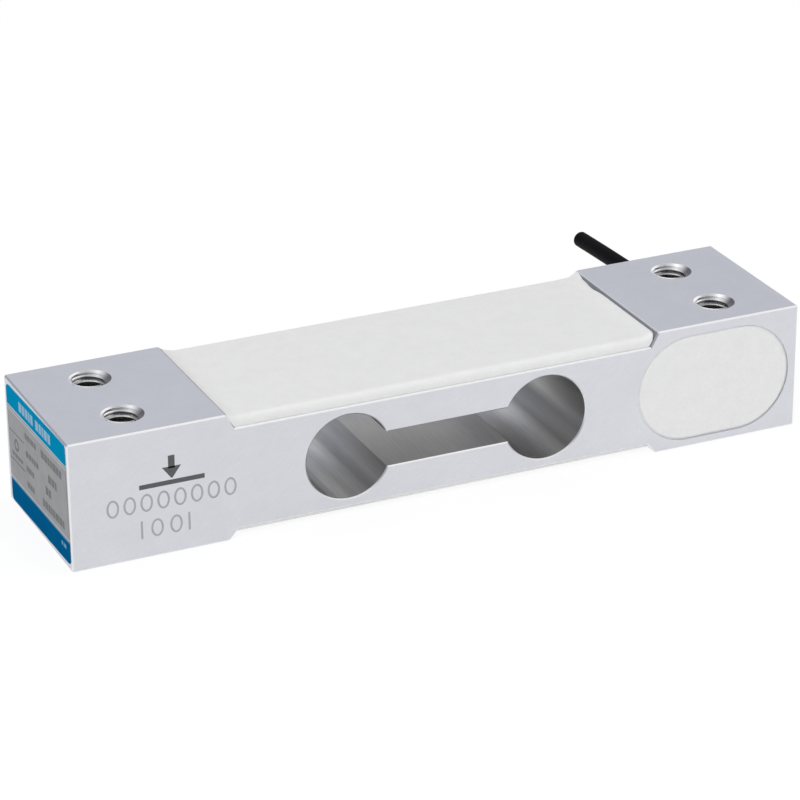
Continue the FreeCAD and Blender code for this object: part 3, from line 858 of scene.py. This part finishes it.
def make_sealant():
    """A plug round the cable with a hollow face: its outer face sinks by half a sine wave to the
    power of 0.8, which is deepest midway between the bore and the jacket."""
    proud, hollow = 0.16 * MM, 0.3 * MM
    inner, outer = JACKET_RADIUS - 0.02 * MM, (SEAL_HIGH.x - SEAL_LOW.x) / 2
    share = np.linspace(0, 1, 12)
    radius = inner + (outer - inner) * share
    face = SEAL_HIGH.y + proud - hollow * np.sin(math.pi * share) ** 0.8
    profile = np.concatenate([np.stack([radius, face], axis=1),
                              [(outer, SEAL_LOW.y), (inner, SEAL_LOW.y)]])
    centre = ((SEAL_LOW.x + SEAL_HIGH.x) / 2, (SEAL_LOW.z + SEAL_HIGH.z) / 2)
    finish = silicone_finish("sealant_silicone", tuple(colours().silicone))
    make_piece("sealant_plug", turned(profile, centre, sides=64), finish,
               ["cable_sealant"])


def thread_surface(x, y, pitch, crest):
    """A ridge that climbs a hole. The turn and a loop of four section points are its two
    parameters; the ridge's inner radius is the crest, or the countersink's cone near a mouth,
    whichever is larger."""
    per_turn, margin = 48, 0.1 * MM
    foot, tip = 0.44 * pitch, 0.08 * pitch  # half widths of the ridge
    low, high = margin, BEAM_HIGH.z - margin
    turns = (high - low) / pitch
    angle = np.linspace(0, 2 * math.pi * turns, int(per_turn * turns) + 1)
    climb = low + pitch * angle / (2 * math.pi)
    root = HOLE_RADIUS + 0.03 * MM
    z = climb[:, None] + np.array([[-foot, -tip, tip, foot]])
    depth = np.minimum(z, BEAM_HIGH.z - z)
    cone = COUNTERSINK_RADIUS - depth
    top = np.clip(cone, crest, root - 0.005 * MM)
    radius = np.where(np.array([[False, True, True, False]]), top, root)
    z = np.clip(z, 0.02 * MM, BEAM_HIGH.z - 0.02 * MM)
    points = np.stack([x + radius * np.cos(angle)[:, None], y + radius * np.sin(angle)[:, None], z],
                      axis=-1)
    faces = grid_faces(len(angle), 4, False, True)
    last = (len(angle) - 1) * 4
    caps = np.array([[0, 1, 2, 3], [last + 3, last + 2, last + 1, last]])
    return points.reshape(-1, 3), np.concatenate([faces, caps])


def make_threads():
    """The same ridge in each of the four holes."""
    finish = thread_finish()
    for end, x in (("load", -HOLE_X), ("fixed", HOLE_X)):
        for side, y in (("front", -HOLE_Y), ("back", HOLE_Y)):
            surface = thread_surface(x, y, sizes().thread_pitch, sizes().thread_crest)
            make_piece(f"thread_{end}_{side}", surface, finish, sharp=25.0)


def pad_surface():
    """The top silicone as a height over a grid. Its level is flat with slow waves; a quarter-round
    drop rounds each long edge and the edge at the right slope; a squared rise draws it up the left
    slope and a smooth one up the right slope, most of all in the corner behind the cable end."""
    floor, level, brim = PAD_LOW.z, PAD_HIGH.z, BEAM_HIGH.z - 0.06 * MM
    slope = (PAD_HIGH.x - RECESS_HALF) / (level - floor)
    edge, gap = sizes().pad_edge, sizes().pad_gap
    climb, dent, front_flare, back_flare = 0.45 * MM, 0.35 * MM, 0.28 * MM, 0.1 * MM
    left = -(RECESS_HALF + slope * (brim - floor))
    u, v = np.meshgrid(crowded(220), crowded(110), indexing="ij")
    rough_x = left + (PAD_HIGH.x - left) * u
    at_left = smooth_step(-rough_x, 35.2 * MM, 38.2 * MM)
    front = PAD_LOW.y - front_flare * at_left
    back = PAD_HIGH.y + back_flare * at_left
    y = front + (back - front) * v
    corner = smooth_step(y, 11.0 * MM, 14.3 * MM)
    notch = np.exp(-((y - 7.5 * MM) / (2.2 * MM)) ** 2)
    round_front = edge_drop(y - PAD_LOW.y, 1.6 * MM)
    right = PAD_HIGH.x + slope * climb - gap - dent * notch - 0.5 * round_front
    right = right + (-left - right) * corner
    x = left + (right - left) * u
    foot = -35.9 * MM
    rise_left = (brim - level) * np.clip((foot - x) / (foot - left), 0, 1) ** 2
    rise_right = climb * (1 - corner) * smooth_step(x, 35.6 * MM, 38.2 * MM)
    rise_corner = (brim - level) * corner * smooth_step(x, 36.7 * MM, 38.35 * MM)
    waves = sizes().silicone_waves * (ripples(x, y, 14 * MM, 3) + 0.4 * ripples(x, y, 5 * MM, 4))
    z = level + rise_left + rise_right + rise_corner + waves
    z = z - edge_drop(y - front, edge * (1 - 0.45 * at_left))
    near_corner = corner * smooth_step(x, 34 * MM, 38 * MM)
    z = z - edge_drop(back - y, edge * (1 - 0.3 * at_left) * (1 - 0.6 * near_corner))
    z = z - edge_drop(right - x, 0.4 * MM * (1 - 0.9 * corner) + 1e-6)
    z = np.maximum(z, floor + 0.25 * MM)
    top = np.stack([x, y, z], axis=-1)
    foot_x = np.clip(x, -RECESS_HALF - 0.01 * MM, RECESS_HALF - gap)
    bottom = np.stack([foot_x, y, np.full_like(z, floor)], axis=-1)
    return closed_block(top, bottom)


def coat_surface():
    """The lower coat as a depth under a grid: level with slow waves and a quarter-round edge."""
    rounding, inset = 0.5 * MM, 0.6 * MM
    u, v = np.meshgrid(crowded(150), crowded(60), indexing="ij")
    x = COAT_LOW.x + (COAT_HIGH.x - COAT_LOW.x) * u
    y = COAT_LOW.y + (COAT_HIGH.y - COAT_LOW.y) * v
    wavy = sizes().silicone_waves * ripples(x, y, 9 * MM, 8)
    edges = edge_drop(y - COAT_LOW.y, rounding) + edge_drop(COAT_HIGH.y - y, rounding)
    z = COAT_LOW.z + wavy + edges
    low = np.stack([x, y, z], axis=-1)
    inward = np.clip(x, COAT_LOW.x + inset, COAT_HIGH.x - inset)
    high = np.stack([inward, y, np.full_like(z, COAT_HIGH.z)], axis=-1)
    return closed_block(low, high)


def potting_surface():
    """The side silicone. Its two parameters are the turn round the oval and the share of the way
    out from the oval's middle line to its rim. It is level with the beam's side, with slow waves,
    and dips over a narrow band before the rim."""
    band = 0.65 * MM
    radius = (POTTING_HIGH.z - POTTING_LOW.z) / 2
    half = (POTTING_HIGH.x - POTTING_LOW.x) / 2 - radius
    middle = ((POTTING_LOW.x + POTTING_HIGH.x) / 2, (POTTING_LOW.z + POTTING_HIGH.z) / 2)
    quarter = math.pi / 2
    arc = np.linspace(-quarter, quarter, 49)
    run = np.linspace(half, -half, 25)[1:-1]
    on_arc, on_run = np.full(len(arc), half), np.full(len(run), quarter)
    spine = np.concatenate([on_arc, run, -on_arc, -run])
    turn = np.concatenate([arc, on_run, arc + math.pi, -on_run])
    share = np.concatenate([np.linspace(0, 0.9, 26), np.linspace(0.9, 1, 14)[1:]])
    reach = share[:, None] * radius
    x = middle[0] + spine[None, :] + reach * np.cos(turn)[None, :]
    z = middle[1] + reach * np.sin(turn)[None, :]
    from_rim = radius - reach + 0 * x
    dip = sizes().potting_dip * (1 - smooth_step(from_rim, 0.0, band)) ** 1.5
    waves = 0.6 * sizes().silicone_waves * (1 + ripples(x, z, 8 * MM, 12))
    y = POTTING_LOW.y + dip + waves + 0.01 * MM
    face = np.stack([x, y, z], axis=-1)
    floor = face[::-1].copy()
    floor[..., 1] = POTTING_HIGH.y
    rows = np.concatenate([face, floor])
    return rows.reshape(-1, 3), grid_faces(len(rows), rows.shape[1], False, True)


def make_silicone():
    """The three pours: over the upper gauges, under the lower ones and in the side cavity."""
    white = tuple(colours().silicone)
    for name, surface, finish, covered in (
            ("silicone_pad", pad_surface(), silicone_finish("pad_silicone", white),
             "top_silicone_pad"),
            ("silicone_coat", coat_surface(), silicone_finish("coat_silicone", white),
             "under_silicone_coat"),
            ("cavity_potting", potting_surface(), silicone_finish(
                "potting_silicone", shade(white, 0.985), grain=0.45 * MM), "cavity_silicone")):
        make_piece(name, surface, finish, [covered], sharp=50.0)


# ---- marks and print: thin closed plates, laid out in millimetres ----
def plate(corners, depths, place):
    """A thin plate: four (across, up) corners in millimetres placed at two depths, with a wall on
    each side."""
    corners = np.array(corners) * MM
    points = np.concatenate([place(corners, depth) for depth in depths])
    here = np.arange(4)
    following = np.roll(here, -1)
    wall = np.stack([following, here, here + 4, following + 4], axis=1)
    return points, np.concatenate([[here], [here[::-1] + 4], wall])


def bar_plate(across, up, width, height, depths, place):
    """A plate with its middle, width and height in millimetres."""
    half, tall = width / 2, height / 2
    return plate([(across - half, up - tall), (across + half, up - tall),
                  (across + half, up + tall), (across - half, up + tall)], depths, place)


def ring_plate(across, up, width, height, stroke, depths, place):
    """An oval ring in millimetres: its section's four corners carried round an ellipse."""
    sides = 40
    angle = np.linspace(0, 2 * math.pi, sides, endpoint=False)
    near, far = depths
    loops = []
    for inset, depth in ((0.0, near), (0.0, far), (stroke, far), (stroke, near)):
        oval = np.stack([across + (width / 2 - inset) * np.cos(angle),
                         up + (height / 2 - inset) * np.sin(angle)], axis=1)
        loops.append(place(oval * MM, depth))
    return np.concatenate(loops), grid_faces(len(loops), sides, True, True)


def on_front(points, depth):
    """(x, z) points placed on the beam's front side."""
    return np.stack([points[:, 0], np.full(len(points), BEAM_LOW.y - depth), points[:, 1]], axis=1)


def on_label(points, depth):
    """(y, z) points placed on the label and turned by its tilt."""
    across, up = points[:, 0] - FILM_MIDDLE.y, points[:, 1] - FILM_MIDDLE.z
    y = FILM_MIDDLE.y + across * math.cos(LABEL_TILT) + up * math.sin(LABEL_TILT)
    z = FILM_MIDDLE.z + up * math.cos(LABEL_TILT) - across * math.sin(LABEL_TILT)
    return np.stack([np.full(len(points), FILM_LOW.x - depth), y, z], axis=1)


def make_side_marks():
    """A dark load symbol, an arrow that presses on a bar, over two rows of pale plain shapes."""
    where = {"depths": (sizes().print_thickness, -0.01 * MM), "place": on_front}
    middle = -47.9
    dark = [bar_plate(middle, 12.4, 11.0, 0.8, **where), bar_plate(middle, 15.9, 1.1, 2.2, **where),
            plate([(middle - 0.1, 13.1), (middle + 0.1, 13.1),
                   (middle + 1.6, 15.1), (middle - 1.6, 15.1)], **where)]
    height, stroke = 3.1, 0.34
    rings = [(across, 9.6) for across in np.linspace(-57.9, -38.1, 8)]
    rings += [(-50.6, 5.0), (-47.4, 5.0)]
    pale = [ring_plate(across, up, 2.1, height, stroke, **where) for across, up in rings]
    pale += [bar_plate(across, 5.0, stroke, height, **where) for across in (-53.2, -45.2)]
    black = plain_finish("laser_black", colours().laser_mark, 0.7, grain=0.2 * MM, change=0.08)
    grey = plain_finish("etched_grey", srgb(186, 186, 190), 0.65, metallic=0.6, grain=0.2 * MM,
                        change=0.05)
    make_piece("load_symbol", gathered(dark), black, sharp=20.0)
    make_piece("etched_shapes", gathered(pale), grey, sharp=20.0)


def make_label_print():
    """Plain blocks in place of lettering: pale ones in the header, grey ones in four rows of two
    columns, a ring between two lines at the back and light blue ones in the footer."""
    where = {"depths": (sizes().print_thickness, -0.005 * MM), "place": on_label}
    draw = np.random.default_rng(21)

    def blocks(start, end, level, height):
        """Blocks of uneven width from start down to end, a little apart."""
        made, at = [], start
        while at > end + 0.5:
            width = min(draw.uniform(0.7, 1.5), at - end)
            made.append(bar_plate(at - width / 2, level, width, height, **where))
            at -= width + 0.3
        return made

    header = blocks(7.5, 0.6, 19.6, 1.7) + blocks(-0.6, -7.7, 19.6, 1.7)
    grey = []
    for level, first_end, second_start, second_end in (
            (15.4, -0.2, -2.6, -12.6), (12.3, -1.6, -5.6, -9.6), (9.7, 1.0, -4.0, -6.6),
            (6.9, 1.8, -2.3, -12.4)):
        grey += blocks(5.2, first_end, level, 1.0) + blocks(second_start, second_end, level, 1.35)
    grey += [bar_plate(9.6, level, 7.0, 0.22, **where) for level in (13.7, 8.7)]
    grey.append(ring_plate(9.8, 11.8, 2.2, 2.2, 0.5, **where))
    grey += blocks(12.2, 7.0, 9.8, 0.7)
    footer = blocks(-10.6, -12.8, 3.4, 0.7)
    for name, shapes, ink, colour, change in (
            ("label_header_blocks", header, "ink_pale_blue", srgb(128, 176, 208), 0.05),
            ("label_grey_blocks", grey, "ink_grey", srgb(96, 96, 98), 0.08),
            ("label_footer_blocks", footer, "ink_light_blue", srgb(70, 140, 185), 0.05)):
        make_piece(name, gathered(shapes), plain_finish(ink, colour, 0.5, change=change),
                   sharp=20.0)


# ---- stage ----
def lamp(name, place, size, power, mirrored=True):
    """A soft rectangular lamp that faces the middle of the beam. One that isn't mirrored lights
    the object and casts its shadow, but leaves no glare on metal."""
    light = bpy.data.lights.new(name, "AREA")
    light.shape = "RECTANGLE"
    light.size, light.size_y = size
    light.energy = power
    holder = bpy.data.objects.new(name, light)
    bpy.context.scene.collection.objects.link(holder)
    holder.location = place
    holder.rotation_euler = (BEAM_MIDDLE - Vector(place)).to_track_quat("-Z", "Y").to_euler()
    holder.visible_glossy = mirrored


def make_floor():
    """A pale floor that looks white to the camera where no shadow falls, and is see-through from
    below."""
    reach = 4.0
    mesh = bpy.data.meshes.new("floor")
    mesh.from_pydata([(-reach, -reach, 0), (reach, -reach, 0), (reach, reach, 0),
                      (-reach, reach, 0)], [], [(0, 1, 2, 3)])
    floor = bpy.data.objects.new("floor", mesh)
    bpy.context.scene.collection.objects.link(floor)
    finish = bpy.data.materials.new("floor_white")
    finish.use_nodes = True
    tree = finish.node_tree
    tree.nodes.clear()
    paint = node(tree, "ShaderNodeBsdfDiffuse", {"Color": (0.88, 0.88, 0.88, 1.0)})
    glow = node(tree, "ShaderNodeEmission", {"Color": WHITE, "Strength": 1.08})
    path = node(tree, "ShaderNodeLightPath").outputs
    seen, mirrored, spread = [product(tree, path[f"Is {kind} Ray"], share) for kind, share in (
        ("Camera", 0.78), ("Glossy", 0.52), ("Diffuse", 0.3))]
    share = math_node(tree, "MAXIMUM", seen, math_node(tree, "MAXIMUM", mirrored, spread))
    lit = node(tree, "ShaderNodeMixShader", {0: share, 1: paint.outputs[0], 2: glow.outputs[0]})
    clear = node(tree, "ShaderNodeBsdfTransparent")
    below = product(tree, path["Is Camera Ray"],
                    node(tree, "ShaderNodeNewGeometry").outputs["Backfacing"])
    both = node(tree, "ShaderNodeMixShader", {0: below, 1: lit.outputs[0], 2: clear.outputs[0]})
    node(tree, "ShaderNodeOutputMaterial", {"Surface": both.outputs[0]})
    mesh.materials.append(finish)


def make_world():
    """Even studio light. The camera sees white, and metal mirrors a dome that is cool and dimmer
    low down, bright overhead and has one bright panel on the cable's side."""
    world = bpy.data.worlds.new("studio")
    world.use_nodes = True
    bpy.context.scene.world = world
    tree = world.node_tree
    tree.nodes.clear()
    across, _, up = parts_of(tree, node(tree, "ShaderNodeTexCoord").outputs["Generated"])
    dome = ramp(tree, up, [(0.0, (0.34, 0.355, 0.41)), (0.50, (0.38, 0.395, 0.45)),
                           (0.78, WHITE), (1.0, WHITE)])
    dome = mixed(tree, between(tree, across, 0.80, 2.0, 0.06), dome, WHITE)
    path = node(tree, "ShaderNodeLightPath").outputs
    fill, mirrored, white = [
        node(tree, "ShaderNodeBackground", {"Color": colour, "Strength": strength}).outputs[0]
        for colour, strength in ((WHITE, 0.5), (dome, 1.0), (WHITE, 1.0))]
    glossy = node(tree, "ShaderNodeMixShader", {0: path["Is Glossy Ray"], 1: fill, 2: mirrored})
    direct = math_node(tree, "MAXIMUM", path["Is Camera Ray"], path["Is Transmission Ray"])
    seen = node(tree, "ShaderNodeMixShader", {0: direct, 1: glossy.outputs[0], 2: white})
    node(tree, "ShaderNodeOutputWorld", {"Surface": seen.outputs[0]})


def make_camera():
    """A camera that looks at the middle of the beam from its azimuth and elevation."""
    view = bpy.context.scene.load_cell_view
    az, el, roll = view.azimuth, view.elevation, view.roll
    back = Vector((math.sin(az) * math.cos(el), -math.cos(az) * math.cos(el), math.sin(el)))
    level = Vector((math.cos(az), math.sin(az), 0.0))
    upright = back.cross(level)
    right = math.cos(roll) * level + math.sin(roll) * upright
    up = math.cos(roll) * upright - math.sin(roll) * level
    lens = bpy.data.cameras.new("camera")
    lens.lens = view.lens
    lens.sensor_width = 36.0
    lens.clip_start, lens.clip_end = 0.01, 20.0
    camera = bpy.data.objects.new("camera", lens)
    bpy.context.scene.collection.objects.link(camera)
    turn = Matrix((right, up, back)).transposed().to_4x4()
    place = BEAM_MIDDLE + right * view.offset[0] + up * view.offset[1] + back * view.distance
    camera.matrix_world = Matrix.Translation(place) @ turn
    bpy.context.scene.camera = camera


# ---- operators: each is a step that can be undone ----
STEP_OPTIONS = {"REGISTER", "UNDO"}


class LOADCELL_OT_stage(bpy.types.Operator):
    """Makes the floor, the world, the lamps and the camera"""
    bl_idname = "load_cell.stage"
    bl_label = "Stage"
    bl_options = STEP_OPTIONS

    def execute(self, context):
        context.scene.view_settings.view_transform = "Standard"
        make_camera()
        make_floor()
        make_world()
        lamp("key_lamp", (-0.55, -0.75, 0.85), size=(0.6, 0.6), power=5.0, mirrored=False)
        lamp("fill_lamp", (0.8, -0.7, 0.5), size=(0.6, 0.6), power=1.2)
        lamp("top_lamp", (0.0, 0.15, 1.1), size=(0.9, 0.5), power=2.0)
        return {"FINISHED"}


class LOADCELL_OT_cable(bpy.types.Operator):
    """Makes the cable with its braid and cores"""
    bl_idname = "load_cell.cable"
    bl_label = "Cable"
    bl_options = STEP_OPTIONS

    def execute(self, context):
        make_cord()
        return {"FINISHED"}


class LOADCELL_OT_sealant(bpy.types.Operator):
    """Makes the plug of silicone round the cable"""
    bl_idname = "load_cell.sealant"
    bl_label = "Cable sealant"
    bl_options = STEP_OPTIONS

    def execute(self, context):
        make_sealant()
        return {"FINISHED"}


class LOADCELL_OT_beam(bpy.types.Operator):
    """Gives the beam its anodised and bare metal"""
    bl_idname = "load_cell.beam"
    bl_label = "Beam finish"
    bl_options = STEP_OPTIONS

    def execute(self, context):
        dress_node("beam", beam_finish())
        return {"FINISHED"}


class LOADCELL_OT_threads(bpy.types.Operator):
    """Cuts the M6 threads as ridges in the four holes"""
    bl_idname = "load_cell.threads"
    bl_label = "Threads"
    bl_options = STEP_OPTIONS

    def execute(self, context):
        make_threads()
        return {"FINISHED"}


class LOADCELL_OT_silicone(bpy.types.Operator):
    """Pours the silicone over the gauges and into the side cavity"""
    bl_idname = "load_cell.silicone"
    bl_label = "Silicone"
    bl_options = STEP_OPTIONS

    def execute(self, context):
        make_silicone()
        return {"FINISHED"}


class LOADCELL_OT_side_marks(bpy.types.Operator):
    """Puts the plain marks on the front side"""
    bl_idname = "load_cell.side_marks"
    bl_label = "Side marks"
    bl_options = STEP_OPTIONS

    def execute(self, context):
        make_side_marks()
        return {"FINISHED"}


class LOADCELL_OT_label(bpy.types.Operator):
    """Finishes the label's film and prints its plain blocks"""
    bl_idname = "load_cell.label"
    bl_label = "Label"
    bl_options = STEP_OPTIONS

    def execute(self, context):
        dress_node("label_film", film_finish())
        make_label_print()
        return {"FINISHED"}


class LOADCELL_OT_gauges(bpy.types.Operator):
    """Finishes the gauges' carriers and foils and their wires"""
    bl_idname = "load_cell.gauges"
    bl_label = "Strain gauges"
    bl_options = STEP_OPTIONS

    def execute(self, context):
        carrier = plain_finish("polyimide_film", (0.62, 0.30, 0.05), 0.3, grain=0.3 * MM,
                               coat_weight=0.4)
        foil = plain_finish("etched_foil", (0.80, 0.62, 0.44), 0.32, metallic=1.0,
                            grain=0.15 * MM)
        wire = plain_finish("enamelled_wire", (0.62, 0.24, 0.08), 0.25, metallic=0.85,
                            grain=0.2 * MM)
        for name in frame["nodes"]:
            for start, finish in (("gauge_carrier", carrier), ("gauge_foil", foil),
                                  ("gauge_wires", wire)):
                if name.startswith(start):
                    dress_node(name, finish)
        return {"FINISHED"}


class LOADCELL_OT_board(bpy.types.Operator):
    """Finishes the bridge board with its resistors and solder, and the ferrule"""
    bl_idname = "load_cell.board"
    bl_label = "Bridge board"
    bl_options = STEP_OPTIONS

    def execute(self, context):
        dress_node("bridge_board", board_finish())
        dress_node("trim_resistors", plain_finish("resistor_body", (0.035, 0.035, 0.04), 0.45,
                                                  grain=0.1 * MM, change=0.2))
        dress_node("solder_joints", plain_finish("bright_solder", (0.78, 0.78, 0.76), 0.22,
                                                 metallic=1.0, grain=0.3 * MM, change=0.08))
        dress_node("crimp_ring", plain_finish("zinc_plate", (0.66, 0.66, 0.63), 0.35,
                                              metallic=1.0, grain=0.25 * MM, change=0.1))
        return {"FINISHED"}


class LOADCELL_PT_panel(bpy.types.Panel):
    """Lists the steps that dress the load cell"""
    bl_idname = "LOADCELL_PT_panel"
    bl_label = "Load cell"
    bl_space_type = "VIEW_3D"
    bl_region_type = "UI"
    bl_category = "Load cell"

    def draw(self, context):
        for operator in OPERATORS:
            self.layout.operator(operator.bl_idname)
        for group in (context.scene.load_cell_sizes, context.scene.load_cell_colours,
                      context.scene.load_cell_view):
            column = self.layout.column(align=True)
            for name in group.__annotations__:
                column.prop(group, name)


OPERATORS = (LOADCELL_OT_stage, LOADCELL_OT_cable, LOADCELL_OT_sealant, LOADCELL_OT_beam,
             LOADCELL_OT_threads, LOADCELL_OT_silicone, LOADCELL_OT_side_marks,
             LOADCELL_OT_label, LOADCELL_OT_gauges, LOADCELL_OT_board)
GROUPS = {"load_cell_sizes": LoadCellSizes, "load_cell_colours": LoadCellColours,
          "load_cell_view": LoadCellView}


def register():
    for item in (*GROUPS.values(), *OPERATORS, LOADCELL_PT_panel):
        bpy.utils.register_class(item)
    for name, group in GROUPS.items():
        setattr(bpy.types.Scene, name, bpy.props.PointerProperty(type=group))


def unregister():
    for name in GROUPS:
        delattr(bpy.types.Scene, name)
    for item in (LOADCELL_PT_panel, *reversed(OPERATORS), *GROUPS.values()):
        bpy.utils.unregister_class(item)


def main():
    """Registers everything and makes the part step by step."""
    register()
    bpy.ops.load_cell.stage()
    bpy.ops.load_cell.cable()
    bpy.ops.load_cell.sealant()
    bpy.ops.load_cell.beam()
    bpy.ops.load_cell.threads()
    bpy.ops.load_cell.silicone()
    bpy.ops.load_cell.side_marks()
    bpy.ops.load_cell.label()
    bpy.ops.load_cell.gauges()
    bpy.ops.load_cell.board()


if __name__ == "__main__":
    main()
